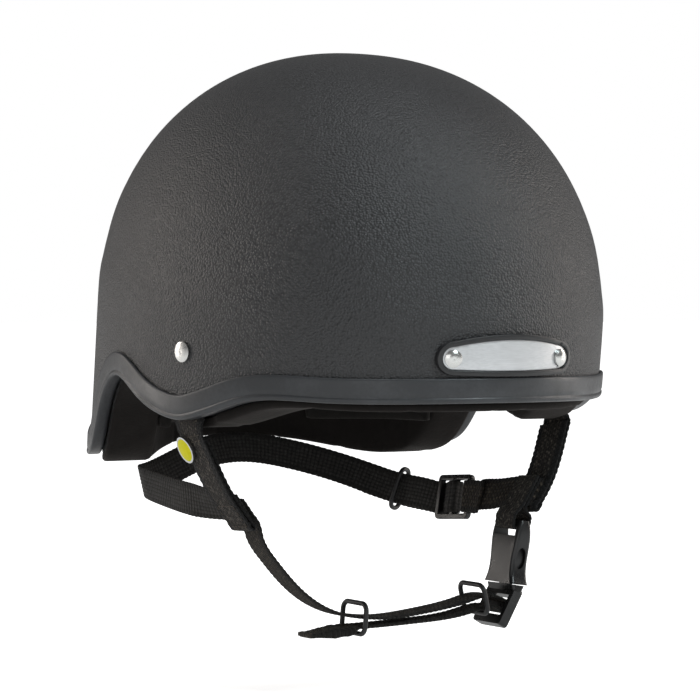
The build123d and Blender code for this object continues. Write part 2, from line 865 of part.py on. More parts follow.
def nape_knots(table):
    """Knots of the nape strap from shares of its reaches and of its top edge's outward lean."""
    knots = []
    for side, back, down, lean in table:
        spot = at(side * nape_side, -back * nape_reach, -down * nape_low)
        outward = Vector(spot.X, spot.Y, 0).normalized()
        tilt = radians(lean * nape_lean)
        knots.append(knot(spot, outward * sin(tilt) + Vector(0, 0, cos(tilt))))
    return knots


def slider_plane():
    """The triglide's plane: x along the strap towards the front, y down, z away from the head."""
    reaches = (nape_side, -nape_reach, -nape_low)
    start = at(*[share * reach for share, reach in zip(slider_from_shares, reaches)])
    end = at(*[share * reach for share, reach in zip(slider_to_shares, reaches)])
    along = (end - start).normalized()
    upright = along.cross(Vector(0, 0, 1)) * -1
    plane = Plane(origin=(start + end) / 2, x_dir=along, z_dir=upright)
    return Plane(plane.location * Rot(-slider_lean, 0, 0))


def nape_slider():
    """The triglide: a rounded frame with two end bars, a middle bar and two slots."""
    frame = RectangleRounded(slider_length, slider_width, slider_corner)
    slot_length = (slider_length - 3 * slider_bar) / 2
    slot_width = strap_width + 2 * strap_slot_clearance
    for side in (1, -1):
        frame -= Pos(side * (slot_length + slider_bar) / 2, 0) * Rectangle(slot_length, slot_width)
    return slider_plane() * extrude(frame, amount=slider_thickness / 2, both=True)


def slider_knot(along, out):
    """A knot in the triglide's own plane."""
    plane = slider_plane()
    return knot(plane.origin + plane.x_dir * along + plane.z_dir * out, plane.y_dir * -1)


def cover_shifts():
    """How far forward and back of a junction's middle a sewn strap end lies flat under the front strap."""
    back = front_width / 2 + layer_gap
    return [-junction_cover, (back - junction_cover) / 2, back]


def nape_run():
    """The nape strap's knots from the right junction to the triglide's rear bar."""
    up = strap_up(1)
    rearward = Vector(0, 1, 0)
    middle = layer(1, 1, junction_climb)
    start = [knot(middle + rearward * shift, up) for shift in cover_shifts()]
    return start + nape_knots(nape_shares)


def slider_weave():
    """The nape strap over the rear bar, round the middle bar and back over itself."""
    rear = -(slider_length - slider_bar) / 2
    out = bar_gap(slider_thickness)
    reach = bar_gap(slider_bar)
    knots = [slider_knot(rear - reach, out), slider_knot(rear, out)]
    knots += [slider_knot(rear * along, out * up) for along, up in slider_dive_shares]
    plane = slider_plane()
    bar = Plane(origin=plane.origin, x_dir=plane.z_dir, z_dir=plane.x_dir * -1)
    for spot, across, width, thickness in turn(bar, out, reach, -1)[2:-1]:
        knots.append(knot(spot, plane.y_dir * -1))
    knots += [slider_knot(rear / 2, out + webbing), slider_knot(rear, out + webbing + layer_gap)]
    return knots


def nape_strap():
    """The nape strap: round the neck, through the triglide and back along its own outside."""
    run = nape_run()
    path = strap_path(run)
    tail = []
    for share in nape_tail_shares:
        across = section_at(run, share)[0][0]
        outward = across.cross(path.tangent_at(share)).normalized()
        if outward.X < 0:
            outward = outward * -1
        tail.append(knot(path.position_at(share) + outward * (webbing + layer_gap), across))
    return ribbon(run + slider_weave() + tail)


def nape_anchor_strap():
    """The short sewn loop that ties the triglide's front bar to the left junction."""
    up = strap_up(-1)
    forward = Vector(0, -1, 0)
    plane = slider_plane()
    middle = plane.origin + plane.x_dir * (slider_length - slider_bar) / 2
    bar = Plane(origin=middle, x_dir=plane.z_dir * -1, z_dir=plane.x_dir)
    fold = turn(bar, bar_gap(slider_thickness), bar_gap(slider_bar))
    around = [knot(spot, plane.y_dir * -1) for spot, *rest in fold]
    last = layer(1, -1, anchor_climb)
    end = [knot(last - forward * shift, up) for shift in reversed(cover_shifts())]
    return ribbon(nape_knots(anchor_fold_shares) + around + nape_knots(anchor_shares) + end)


# Keeper rings


def keeper(plane, width, height):
    """A rounded ring of round wire whose inside has a width and a height; the strap runs along z."""
    wide, high = width / 2 + ring_wire / 2, height / 2 + ring_wire / 2
    path = RectangleRounded(2 * wide, 2 * high, min(ring_corner, high * ring_corner_share)).wire()
    wire = Plane(origin=path @ 0, z_dir=path % 0) * Circle(ring_wire / 2)
    return plane * sweep(wire, path=path)


def chin_keeper(shares, lean):
    """A ring round both layers of the chin strap, standing above the upper one."""
    spot = chin_spot(*shares)
    tilt = radians(lean)
    along = Vector(-cos(tilt), 0, sin(tilt))
    plane = Plane(origin=spot, x_dir=Vector(0, 1, 0), z_dir=along)
    return keeper(plane, strap_width + 2 * ring_side_gap, chin_ring_height)


def nape_keeper():
    """The ring round both layers of the nape strap."""
    run = nape_run()
    path = strap_path(run)
    across = section_at(run, nape_keeper_share)[0][0]
    ahead = path.tangent_at(nape_keeper_share)
    outward = across.cross(ahead).normalized()
    if outward.X < 0:
        outward = outward * -1
    middle = path.position_at(nape_keeper_share) + outward * (webbing + layer_gap) / 2
    height = 2 * webbing + layer_gap + 2 * seat_gap + neck_ring_spare
    plane = Plane(origin=middle, x_dir=across, z_dir=ahead)
    return keeper(plane, strap_width + 2 * ring_side_gap, height)


# Nodes

nodes = {
    "outer_shell": outer_shell,
    "edge_trim": edge_trim,
    "impact_liner": impact_liner,
    "comfort_lining": comfort_lining,
    "brow_pad": brow_pad,
    "neck_pads": neck_pads,
    "crown_pad": crown_pad,
    "badge_bezel": badge_bezel,
    "badge_plate": badge_plate,
    "badge_rivets": badge_rivets,
    "badge_washers": badge_washers,
    "temple_rivets": temple_rivets,
    "temple_washers": temple_washers,
    "front_strap_right": front_strap_right,
    "front_strap_left": lambda: front_strap(-1),
    "nape_strap": nape_strap,
    "nape_anchor_strap": nape_anchor_strap,
    "nape_slider": nape_slider,
    "nape_keeper": nape_keeper,
    "chin_strap": chin_strap,
    "chin_keeper_tail": lambda: chin_keeper(tail_ring_shares, tail_ring_lean),
    "chin_keeper_buckle": lambda: chin_keeper(buckle_ring_shares, buckle_ring_lean),
    "buckle_loop": buckle_loop,
    "buckle_socket": buckle_socket,
    "buckle_prong": buckle_prong,
    "latch_arm_front": lambda: latch_arm(-1),
    "latch_arm_rear": lambda: latch_arm(1),
    "strap_disc": strap_disc,
    "strap_disc_ring": strap_disc_ring,
    "strap_disc_stud": strap_disc_stud,
}

os.makedirs("parts", exist_ok=True)
for name, make in nodes.items():
    made = make()
    if isinstance(made, list):
        made = Compound(children=made)
    export_step(made, "parts/" + name + ".step")
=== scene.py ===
import json
from itertools import combinations
from math import cos, pi, radians, sin

import bmesh
import bpy
import numpy as np
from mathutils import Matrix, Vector


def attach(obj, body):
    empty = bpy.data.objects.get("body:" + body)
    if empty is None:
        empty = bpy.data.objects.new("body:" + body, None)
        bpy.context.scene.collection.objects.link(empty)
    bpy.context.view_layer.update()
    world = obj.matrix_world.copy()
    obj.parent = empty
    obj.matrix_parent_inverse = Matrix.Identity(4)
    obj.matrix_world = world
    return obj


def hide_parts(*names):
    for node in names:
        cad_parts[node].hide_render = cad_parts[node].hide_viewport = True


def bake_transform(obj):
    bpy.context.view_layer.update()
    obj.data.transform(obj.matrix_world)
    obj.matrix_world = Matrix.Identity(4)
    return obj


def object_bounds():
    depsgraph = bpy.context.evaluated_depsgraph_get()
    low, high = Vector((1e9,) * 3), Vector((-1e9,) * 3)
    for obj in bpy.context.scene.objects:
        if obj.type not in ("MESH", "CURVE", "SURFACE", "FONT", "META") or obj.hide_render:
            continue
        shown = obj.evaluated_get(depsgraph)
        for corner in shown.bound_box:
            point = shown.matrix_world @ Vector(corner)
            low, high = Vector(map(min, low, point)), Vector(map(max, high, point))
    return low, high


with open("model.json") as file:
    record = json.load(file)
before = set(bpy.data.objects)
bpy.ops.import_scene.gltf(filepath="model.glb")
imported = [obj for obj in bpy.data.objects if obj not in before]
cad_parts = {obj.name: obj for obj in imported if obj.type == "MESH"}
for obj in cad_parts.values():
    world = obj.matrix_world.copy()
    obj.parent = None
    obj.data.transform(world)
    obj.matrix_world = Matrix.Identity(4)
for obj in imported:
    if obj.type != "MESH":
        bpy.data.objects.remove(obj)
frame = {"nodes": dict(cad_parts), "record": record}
cad_low, cad_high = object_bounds()
mm = 0.001

# Camera, at the photograph's viewing angle, with its lens and shift fitted to the photograph

view_turn, view_rise, view_reach = radians(31.5), radians(2.0), 1.2
seen_target = Vector((0.0, 0.0, -0.0043))
toward_camera = Vector((-sin(view_turn) * cos(view_rise), -cos(view_turn) * cos(view_rise), sin(view_rise)))
eye = bpy.data.cameras.new("studio_camera")
eye.sensor_width = 36.0
eye.lens = 137.87
eye.shift_x = 0.0073
eye.shift_y = 0.0771
eye.clip_end = 50.0
camera = bpy.data.objects.new("studio_camera", eye)
camera.location = seen_target + toward_camera * view_reach
camera.rotation_euler = (-toward_camera).to_track_quat("-Z", "Y").to_euler()
bpy.context.collection.objects.link(camera)
bpy.context.scene.camera = camera


# Meshes on grids

def grid_mesh(name, points, close_rows=False, close_columns=False, chart=None, ends=False):
    """A mesh on a grid of points (rows, columns, 3), in metres.

    Rows or columns may join up with the first one. ends fills the first and last row when its columns
    are closed. chart is a grid of (u, v) that becomes the piece's UV map.
    """
    rows, columns = points.shape[:2]
    r = np.arange(rows if close_rows else rows - 1)
    c = np.arange(columns if close_columns else columns - 1)
    r, c = np.meshgrid(r, c, indexing="ij")
    down, right = (r + 1) % rows, (c + 1) % columns
    corners = [r * columns + c, r * columns + right, down * columns + right, down * columns + c]
    faces = np.stack([corner.ravel() for corner in corners], axis=1).tolist()
    if ends:
        faces.append(np.arange(columns)[::-1].tolist())
        faces.append(((rows - 1) * columns + np.arange(columns)).tolist())
    mesh = bpy.data.meshes.new(name)
    mesh.from_pydata(points.reshape(-1, 3).tolist(), [], faces)
    if chart is not None:
        corner = np.zeros(len(mesh.loops), dtype=np.int32)
        mesh.loops.foreach_get("vertex_index", corner)
        spots = chart.reshape(-1, 2)[corner]
        mesh.uv_layers.new(name="length_and_width").data.foreach_set("uv", spots.ravel())
    mesh.shade_smooth()
    return mesh


def new_piece(name, mesh, body, slot, material, *nodes):
    """An object for a finished mesh; it may ride on a body and stand for CAD nodes. The slot argument is not
    used.
    """
    piece = bpy.data.objects.new(name, mesh)
    bpy.context.collection.objects.link(piece)
    mesh.materials.clear()
    mesh.materials.append(material)
    if body:
        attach(piece, body)
    if nodes:
        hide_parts(*nodes)
    return piece


def outward(mesh):
    """Turns a closed mesh's faces outwards."""
    shape = bmesh.new()
    shape.from_mesh(mesh)
    bmesh.ops.recalc_face_normals(shape, faces=shape.faces)
    shape.to_mesh(mesh)
    shape.free()
    return mesh


# The cap's outside surface and its rim

shell_half_length, shell_half_width, dome_height = 130.0, 105.0, 118.8
widest_height, dome_power, forward_lean = 32.7, 2.16, radians(6.9)
brow_reach, temple_place, temple_dip = 66.0, 32.0, 8.2
ear_place, ear_rise = 19.0, 9.3
lobe_place, lobe_drop = 71.0, 27.5
nape_place, nape_drop = 112.0, 19.0
overrun = 40.0
brow_line_shares = ((0.35, 0), (0.7, 0))
dip_shares = ((0.36, 0.42), (0.68, 0.8))
climb_shares = ((0.22, 0.1), (0.588, 0.526))
fall_shares = ((0.29, 0.225), (0.48, 0.55), (0.69, 0.89))
rim_steps, rise_rounds, height_rounds = 1200, 14, 8


def between(first, second, shares):
    """A (back, up) spot, and spots at shares of the way back and up from it to a second one."""
    ahead, up = second[0] - first[0], second[1] - first[1]
    return [first] + [(first[0] + a * ahead, first[1] + b * up) for a, b in shares]


def rim_side_view():
    """The rim in side view as (back, up) spots, from in front of the shell to behind it."""
    front, brow = (-shell_half_length - overrun, 0.0), (-brow_reach, 0.0)
    temple, ear = (-temple_place, -temple_dip), (ear_place, ear_rise)
    lobe, nape = (lobe_place, -lobe_drop), (nape_place, -nape_drop)
    spots = between(front, brow, brow_line_shares) + between(brow, temple, dip_shares)
    spots += between(temple, ear, climb_shares) + between(ear, lobe, fall_shares)
    return spots + [lobe, nape, (shell_half_length + overrun, -nape_drop)]


def smooth_line(knots, count):
    """Natural cubic splines through a table's rows, over the length of the chords between the first columns.

    With steps h and second derivatives m, h0 m0 + 2 (h0 + h1) m1 + h1 m2 = 6 (slope1 - slope0).
    Columns past the third are mixed straight between rows.
    """
    knots = np.asarray(knots, dtype=float)
    step = np.linalg.norm(np.diff(knots[:, :3], axis=0), axis=1)
    reach = np.concatenate([[0], np.cumsum(step)])
    last = len(reach) - 1
    inner = np.arange(1, last)
    matrix, right = np.zeros((last + 1, last + 1)), np.zeros((last + 1, 3))
    matrix[0, 0] = matrix[last, last] = 1
    matrix[inner, inner - 1], matrix[inner, inner + 1] = step[:-1], step[1:]
    matrix[inner, inner] = 2 * (step[:-1] + step[1:])
    slopes = np.diff(knots[:, :3], axis=0) / step[:, None]
    right[inner] = 6 * np.diff(slopes, axis=0)
    bend = np.linalg.solve(matrix, right)
    along = np.linspace(0, reach[-1], count)
    place = np.clip(np.searchsorted(reach, along, side="right") - 1, 0, last - 1)
    width = step[place][:, None]
    ahead = (along - reach[place])[:, None] / width
    back = 1 - ahead
    spots = back * knots[place, :3] + ahead * knots[place + 1, :3]
    spots += width ** 2 / 6 * ((back ** 3 - back) * bend[place] + (ahead ** 3 - ahead) * bend[place + 1])
    rest = back * knots[place, 3:] + ahead * knots[place + 1, 3:]
    return spots, rest


rim_line = smooth_line([(back, up, 0) for back, up in rim_side_view()], rim_steps)[0]


def rim_height(back, lift):
    """The height of the rim's side view at a distance back, after the view is lifted square to itself."""
    ahead = np.gradient(rim_line[:, :2], axis=0)
    ahead /= np.linalg.norm(ahead, axis=1)[:, None]
    tables = rim_line[:, :2] + lift * np.stack([-ahead[:, 1], ahead[:, 0]], axis=1)
    order = np.argsort(tables[:, 0])
    return np.interp(back, tables[order, 0], tables[order, 1])


def wall_spots(turn, up, offset):
    """Spots on the cap's outside moved out by an offset, in millimetres.

    On the body, (r / widest)^p + (rise / height)^p = 1 above the widest line and r = widest below it;
    it leans forward about X. turn runs from the front towards the wearer's right. The rise that gives the
    height up is found by repeating rise = (up - widest_height + a s cos(turn) sin(lean)) / cos(lean).
    """
    turn, up, offset = np.broadcast_arrays(turn, up, np.asarray(offset, dtype=float))
    length, width, height = shell_half_length + offset, shell_half_width + offset, dome_height + offset
    rise = up - widest_height
    for _ in range(rise_rounds):
        full = 1 - np.clip(rise / height, 0, 1) ** dome_power
        share = np.clip(full, 0, 1) ** (1 / dome_power)
        rise = (up - widest_height + length * share * np.cos(turn) * sin(forward_lean)) / cos(forward_lean)
    side, back = -width * share * np.sin(turn), -length * share * np.cos(turn)
    deep = back * cos(forward_lean) - rise * sin(forward_lean)
    tall = back * sin(forward_lean) + rise * cos(forward_lean) + widest_height
    return np.stack([side, deep, tall], axis=-1)


def rim_spots(turn, lift, offset):
    """Spots on the cap's outside at a lift above the rim: the height is repeated as rim_height(back)."""
    turn, lift, offset = np.broadcast_arrays(turn, lift, offset)
    up = np.zeros(turn.shape)
    for _ in range(height_rounds):
        spots = wall_spots(turn, up, offset)
        for row in np.unique(lift):
            chosen = lift == row
            up[chosen] = rim_height(spots[..., 1][chosen], row)
    return wall_spots(turn, up, offset)


# Materials

def add_node(tree, kind, sockets=None, **settings):
    """A node with its settings; sockets are given by name or number, as values or other nodes' outputs."""
    node = tree.nodes.new(kind)
    for setting, value in settings.items():
        setattr(node, setting, value)
    for socket, value in (sockets or {}).items():
        if isinstance(value, bpy.types.NodeSocket):
            tree.links.new(value, node.inputs[socket])
        else:
            node.inputs[socket].default_value = value
    return node


def effect_group(name, inputs, outputs):
    """A shader group with named number inputs, their values, and named outputs of varying values."""
    tree = bpy.data.node_groups.new(name, "ShaderNodeTree")
    for label, value in inputs.items():
        tree.interface.new_socket(label, in_out="INPUT", socket_type="NodeSocketFloat").default_value = value
    for label in outputs:
        tree.interface.new_socket(label, in_out="OUTPUT", socket_type="NodeSocketFloat")
    return tree, tree.nodes.new("NodeGroupInput").outputs, tree.nodes.new("NodeGroupOutput").inputs


def calculate(tree, operation, *values):
    """The output of a Math node."""
    return add_node(tree, "ShaderNodeMath", dict(enumerate(values)), operation=operation).outputs[0]


def object_spot(tree, stretch=(1, 1, 1)):
    """Object coordinates, stretched along the axes."""
    spot = add_node(tree, "ShaderNodeTexCoord").outputs["Object"]
    return add_node(tree, "ShaderNodeMapping", {"Vector": spot, "Scale": stretch}).outputs[0]


def noise(tree, spot, scale, detail, roughness=0.5):
    """The output of a Noise texture."""
    sockets = {"Vector": spot, "Scale": scale, "Detail": detail, "Roughness": roughness}
    return add_node(tree, "ShaderNodeTexNoise", sockets).outputs["Fac"]


def ramp(tree, value, start, end, low=0.0, high=1.0, kind="LINEAR"):
    """A value's way from low to high while it goes from start to end."""
    sockets = {"Value": value, "From Min": start, "From Max": end, "To Min": low, "To Max": high}
    return add_node(tree, "ShaderNodeMapRange", sockets, interpolation_type=kind).outputs[0]


def pebble_group():
    """Pebble grain: rounded cells of a Voronoi pattern with soft valleys, and a slower swell."""
    defaults = {"Cells per metre": 900.0, "Swell": 0.3}
    tree, given, result = effect_group("pebble_grain", defaults, ["Height", "Cell"])
    spot = object_spot(tree)
    sockets = {"Vector": spot, "Scale": given["Cells per metre"], "Randomness": 0.9}
    cells = add_node(tree, "ShaderNodeTexVoronoi", sockets, feature="SMOOTH_F1")
    cells.inputs["Smoothness"].default_value = 0.35
    dome = calculate(tree, "SUBTRACT", 1.0, cells.outputs["Distance"])
    swell = calculate(tree, "MULTIPLY", noise(tree, spot, 240.0, 2.0), given["Swell"])
    tree.links.new(calculate(tree, "ADD", dome, swell), result["Height"])
    tree.links.new(cells.outputs["Distance"], result["Cell"])
    return tree


def wear_group():
    """Handling marks: broad noise with a quarter of fine noise, between a low and a high mark."""
    tree, given, result = effect_group("handling_marks", {"Scale": 30.0, "From": 0.45, "To": 0.7}, ["Mark"])
    spot = object_spot(tree)
    broad = calculate(tree, "MULTIPLY", noise(tree, spot, given["Scale"], 4.0, 0.6), 0.75)
    fine = calculate(tree, "MULTIPLY", noise(tree, spot, 700.0, 3.0), 0.25)
    both = calculate(tree, "ADD", broad, fine)
    tree.links.new(ramp(tree, both, given["From"], given["To"], kind="SMOOTHSTEP"), result["Mark"])
    return tree


def weave_group():
    """Woven webbing on the piece's own map (u along, v across, in metres).

    Ribs cross the strap every Rib: |sin(pi u / Rib)|. Yarns run along it every Yarn, a share Stagger of a rib
    out of step with their neighbours: at a half, over and under make a basket of short floats.
    """
    defaults = {"Rib": 0.002, "Yarn": 0.0017, "Stagger": 0.5, "Half width": 0.0075}
    tree, given, result = effect_group("woven_webbing", defaults, ["Height", "Float", "Glint", "Edge"])
    chart = add_node(tree, "ShaderNodeUVMap", uv_map="length_and_width").outputs[0]
    parts = add_node(tree, "ShaderNodeSeparateXYZ", {0: chart}).outputs
    yarn = calculate(tree, "DIVIDE", parts["Y"], given["Yarn"])
    shift = calculate(tree, "MULTIPLY", calculate(tree, "FLOOR", yarn), given["Stagger"])
    along = calculate(tree, "ADD", calculate(tree, "DIVIDE", parts["X"], given["Rib"]), shift)
    over = calculate(tree, "ABSOLUTE", calculate(tree, "SINE", calculate(tree, "MULTIPLY", along, pi)))
    across = calculate(tree, "ABSOLUTE", calculate(tree, "SINE", calculate(tree, "MULTIPLY", yarn, pi)))
    over, across = calculate(tree, "POWER", over, 0.7), calculate(tree, "POWER", across, 0.5)
    height = calculate(tree, "MULTIPLY", over, across)
    plies = calculate(tree, "SINE", calculate(tree, "MULTIPLY", parts["Y"], 22000.0))
    fuzz = calculate(tree, "MULTIPLY", noise(tree, object_spot(tree), 2600.0, 2.0), 0.5)
    rough = calculate(tree, "ADD", fuzz, calculate(tree, "MULTIPLY", plies, 0.12))
    # Painted glints: pale spots on some float tops, standing in for light caught by the yarn.
    bright = ramp(tree, noise(tree, object_spot(tree), 620.0, 1.0), 0.5, 0.66)
    aside = calculate(tree, "ABSOLUTE", parts["Y"])
    tree.links.new(calculate(tree, "ADD", height, rough), result["Height"])
    tree.links.new(height, result["Float"])
    tree.links.new(calculate(tree, "MULTIPLY", bright, height), result["Glint"])
    tree.links.new(calculate(tree, "DIVIDE", aside, given["Half width"]), result["Edge"])
    return tree


def nap_group():
    """Brushed cloth: crossed fine noise, stretched along two axes, with soft pills."""
    tree, given, result = effect_group("brushed_nap", {"Threads per metre": 1500.0}, ["Height", "Tone"])
    threads = given["Threads per metre"]
    first = noise(tree, object_spot(tree, (1, 1, 0.35)), threads, 3.0)
    second = noise(tree, object_spot(tree, (0.35, 0.35, 1)), threads, 3.0)
    pills = noise(tree, object_spot(tree), 190.0, 5.0, 0.65)
    crossed = calculate(tree, "MAXIMUM", first, second)
    tree.links.new(calculate(tree, "ADD", crossed, pills), result["Height"])
    tree.links.new(pills, result["Tone"])
    return tree


pebble, wear, weave, nap = pebble_group(), wear_group(), weave_group(), nap_group()


def new_material(name, roughness=0.5, metallic=0.0, **constants):
    """A material with a Principled shader whose unvarying sockets are set on the shader itself."""
    material = bpy.data.materials.new(name)
    material.use_nodes = True
    shader = material.node_tree.nodes["Principled BSDF"]
    shader.inputs["Roughness"].default_value = roughness
    shader.inputs["Metallic"].default_value = metallic
    for label, value in constants.items():
        shader.inputs[label.replace("_", " ")].default_value = value
    return material, material.node_tree, shader.inputs


def placed(tree, group, **values):
    """A group placed in a material with its own values; its outputs."""
    node = add_node(tree, "ShaderNodeGroup", node_tree=group)
    for label, value in values.items():
        node.inputs[label.replace("_", " ")].default_value = value
    return node.outputs


def blended(tree, mask, low, high):
    """A number between two numbers, or a colour between two plain colours or outputs, by a mask."""
    if isinstance(low, float):
        return ramp(tree, mask, 0.0, 1.0, low, high)
    mix = add_node(tree, "ShaderNodeMix", data_type="RGBA")
    tree.links.new(mask, mix.inputs[0])
    for place, colour in ((6, low), (7, high)):
        if isinstance(colour, tuple):
            mix.inputs[place].default_value = (*colour, 1)
        else:
            tree.links.new(colour, mix.inputs[place])
    return mix.outputs[2]


def raised(tree, sockets, height, depth, strength=1.0):
    """A Bump node from a height in shares of a depth in metres, on to the shader's normal."""
    bump = add_node(tree, "ShaderNodeBump", {"Height": height, "Distance": depth, "Strength": strength})
    tree.links.new(bump.outputs[0], sockets["Normal"])


def shell_finish():
    """Black moulded shell: pebble grain, painted shade in the grain's pits, faint handling marks."""
    material, tree, sockets = new_material("pebbled_shell", Specular_IOR_Level=0.5, IOR=1.5)
    grain = placed(tree, pebble, Cells_per_metre=1050.0, Swell=0.25)
    marks = placed(tree, wear, Scale=16.0, From=0.42, To=0.66)
    # Painted shade: the colour is darker in the pits between the grain's cells.
    colour = blended(tree, grain["Cell"], (0.032, 0.032, 0.034), (0.006, 0.006, 0.0065))
    tree.links.new(colour, sockets["Base Color"])
    tree.links.new(blended(tree, marks["Mark"], 0.5, 0.44), sockets["Roughness"])
    raised(tree, sockets, grain["Height"], 0.00042)
    return material


def rubber_finish(name, low, high, roughness, depth=0.00004):
    """Satin rubber or moulded plastic: a fine skin, smoother where it has been handled."""
    material, tree, sockets = new_material(name, Specular_IOR_Level=0.45)
    marks = placed(tree, wear, Scale=45.0, From=0.38, To=0.66)
    skin = placed(tree, pebble, Cells_per_metre=2600.0, Swell=0.6)
    tree.links.new(blended(tree, marks["Mark"], low, high), sockets["Base Color"])
    tree.links.new(blended(tree, marks["Mark"], roughness + 0.07, roughness - 0.06), sockets["Roughness"])
    raised(tree, sockets, skin["Height"], depth, 0.6)
    return material


def webbing_finish(name, valley, crest, glint, edge, half_width=0.0075, braid=0.0022, stagger=0.5):
    """Woven nylon: the gaps between the floats are darker as painted shade, some floats carry painted glints,
    and the selvedges are darker.
    """
    material, tree, sockets = new_material(name, roughness=0.75, Sheen_Weight=0.03, Sheen_Roughness=0.45,
                                           Specular_IOR_Level=0.2)
    woven = placed(tree, weave, Half_width=half_width, Stagger=stagger)
    marks = placed(tree, wear, Scale=38.0, From=0.35, To=0.7)
    # Painted shade: the colour is darker in the gaps between the floats.
    cloth = blended(tree, woven["Float"], valley, crest)
    # Painted glints on some float tops.
    cloth = blended(tree, woven["Glint"], cloth, glint)
    rim = 1 - braid / half_width
    cloth = blended(tree, ramp(tree, woven["Edge"], rim - 0.06, rim + 0.06), cloth, edge)
    cloth = blended(tree, calculate(tree, "MULTIPLY", marks["Mark"], 0.12), cloth, (0.05, 0.046, 0.042))
    tree.links.new(cloth, sockets["Base Color"])
    raised(tree, sockets, woven["Height"], 0.0004)
    return material


def cloth_finish(name, low, high, threads):
    """Brushed lining cloth with a short nap."""
    material, tree, sockets = new_material(name, roughness=0.95, Sheen_Weight=0.06, Sheen_Roughness=0.5,
                                           Specular_IOR_Level=0.2)
    sockets["Sheen Tint"].default_value = (0.6, 0.54, 0.5, 1)
    brushed = placed(tree, nap, Threads_per_metre=threads)
    tree.links.new(blended(tree, brushed["Tone"], low, high), sockets["Base Color"])
    raised(tree, sockets, brushed["Height"], 0.0003, 0.7)
    return material


def foam_finish():
    """Black beaded foam: round beads pressed flat against each other, with painted shade in the creases
    between them.
    """
    material, tree, sockets = new_material("beaded_foam", roughness=0.8)
    beads = placed(tree, pebble, Cells_per_metre=330.0, Swell=0.2)
    # Painted shade: the colour is darker in the creases where the beads meet.
    colour = blended(tree, beads["Cell"], (0.05, 0.05, 0.051), (0.02, 0.02, 0.02))
    tree.links.new(colour, sockets["Base Color"])
    raised(tree, sockets, beads["Height"], 0.0006, 0.8)
    return material


def metal_finish(name, low, high, roughness, brush=(1, 1, 1)):
    """Bright metal: fine scratches stretched along the brushing, duller where it has been handled."""
    material, tree, sockets = new_material(name, metallic=1.0)
    scratches = noise(tree, object_spot(tree, brush), 2400.0, 4.0)
    marks = placed(tree, wear, Scale=90.0, From=0.35, To=0.7)
    tree.links.new(blended(tree, scratches, low, high), sockets["Base Color"])
    tree.links.new(blended(tree, marks["Mark"], roughness - 0.05, roughness + 0.1), sockets["Roughness"])
    raised(tree, sockets, scratches, 0.00002, 0.5)
    return material


def enamel_finish():
    """Yellow enamel with an even, slightly rippled gloss."""
    material, tree, sockets = new_material("yellow_enamel", roughness=0.45, Specular_IOR_Level=0.12)
    marks = placed(tree, wear, Scale=240.0, From=0.3, To=0.75)
    tree.links.new(blended(tree, marks["Mark"], (0.62, 0.58, 0.0), (0.7, 0.66, 0.001)), sockets["Base Color"])
    raised(tree, sockets, marks["Mark"], 0.00006, 0.4)
    return material


finishes = {
    "shell": shell_finish(),
    "trim": rubber_finish("rim_rubber", (0.022, 0.0235, 0.026), (0.034, 0.036, 0.04), 0.4),
    "lining": cloth_finish("lining_cloth", (0.005, 0.0042, 0.0038), (0.013, 0.0108, 0.0098), 1300.0),
    "pad": cloth_finish("pad_cloth", (0.008, 0.0075, 0.007), (0.018, 0.0165, 0.015), 1700.0),
    "foam": foam_finish(),
    "bezel": rubber_finish("badge_frame", (0.012, 0.012, 0.013), (0.02, 0.02, 0.021), 0.36),
    "badge": metal_finish("brushed_plate", (0.42, 0.43, 0.44), (0.62, 0.63, 0.64), 0.34, (0.06, 1, 1)),
    "rivet": metal_finish("rivet_nickel", (0.5, 0.5, 0.49), (0.66, 0.66, 0.64), 0.24),
    "disc_ring": metal_finish("ring_steel", (0.42, 0.43, 0.44), (0.6, 0.61, 0.62), 0.2),
    "disc": enamel_finish(),
    "buckle": rubber_finish("buckle_moulding", (0.0035, 0.0035, 0.0038), (0.007, 0.007, 0.0075), 0.3),
    "keeper": rubber_finish("keeper_rubber", (0.006, 0.006, 0.0065), (0.01, 0.01, 0.011), 0.48),
}
front_cloth = webbing_finish(
    "front_webbing", valley=(0.0025, 0.002, 0.0016), crest=(0.021, 0.0165, 0.013), glint=(0.11, 0.096, 0.08),
    edge=(0.005, 0.0052, 0.0056), half_width=0.01, braid=0.0036)
# The nape webbing's floats are paler than the other straps' floats; the extra paleness is painted light for
# the strap's lit near end.
neck_cloth = webbing_finish(
    "neck_webbing", valley=(0.006, 0.0056, 0.0052), crest=(0.036, 0.034, 0.032), glint=(0.05, 0.048, 0.046),
    edge=(0.014, 0.013, 0.012), stagger=0.0)
chin_cloth = webbing_finish(
    "chin_webbing", valley=(0.004, 0.003, 0.0022), crest=(0.024, 0.0185, 0.0135), glint=(0.08, 0.066, 0.05),
    edge=(0.008, 0.007, 0.006))
thread_cloth = cloth_finish("sewing_thread", (0.05, 0.042, 0.034), (0.11, 0.095, 0.08), 2600.0)

node_slots = {part["node"]: part["material_slot"] for part in frame["record"]["subparts"]}
for name, node in frame["nodes"].items():
    finish = finishes.get(node_slots[name], chin_cloth)
    for place in range(max(1, len(node.material_slots))):
        if len(node.material_slots) == 0:
            node.data.materials.append(finish)
        node.material_slots[place].material = finish


# Harness webbing, on the sections of its CAD solids

webbing_thickness = 1.4
frame_step = 0.25


def is_corner(vertex, others, limit=0.3):
    """Whether three sharp edges meet nearly square to each other at a vertex: no cosine is over the limit."""
    ways = [(other.co - vertex.co).normalized() for other in others]
    return len(ways) == 3 and all(abs(first.dot(second)) < limit for first, second in combinations(ways, 2))


def sharp_neighbours(solid, limit=radians(77)):
    """Each vertex on a solid's sharp edges, with the vertices at those edges' other ends."""
    near = {}
    for edge in solid.edges:
        if edge.calc_face_angle(0) > limit:
            for vertex in edge.verts:
                near.setdefault(vertex, []).append(edge.other_vert(vertex))
    return near


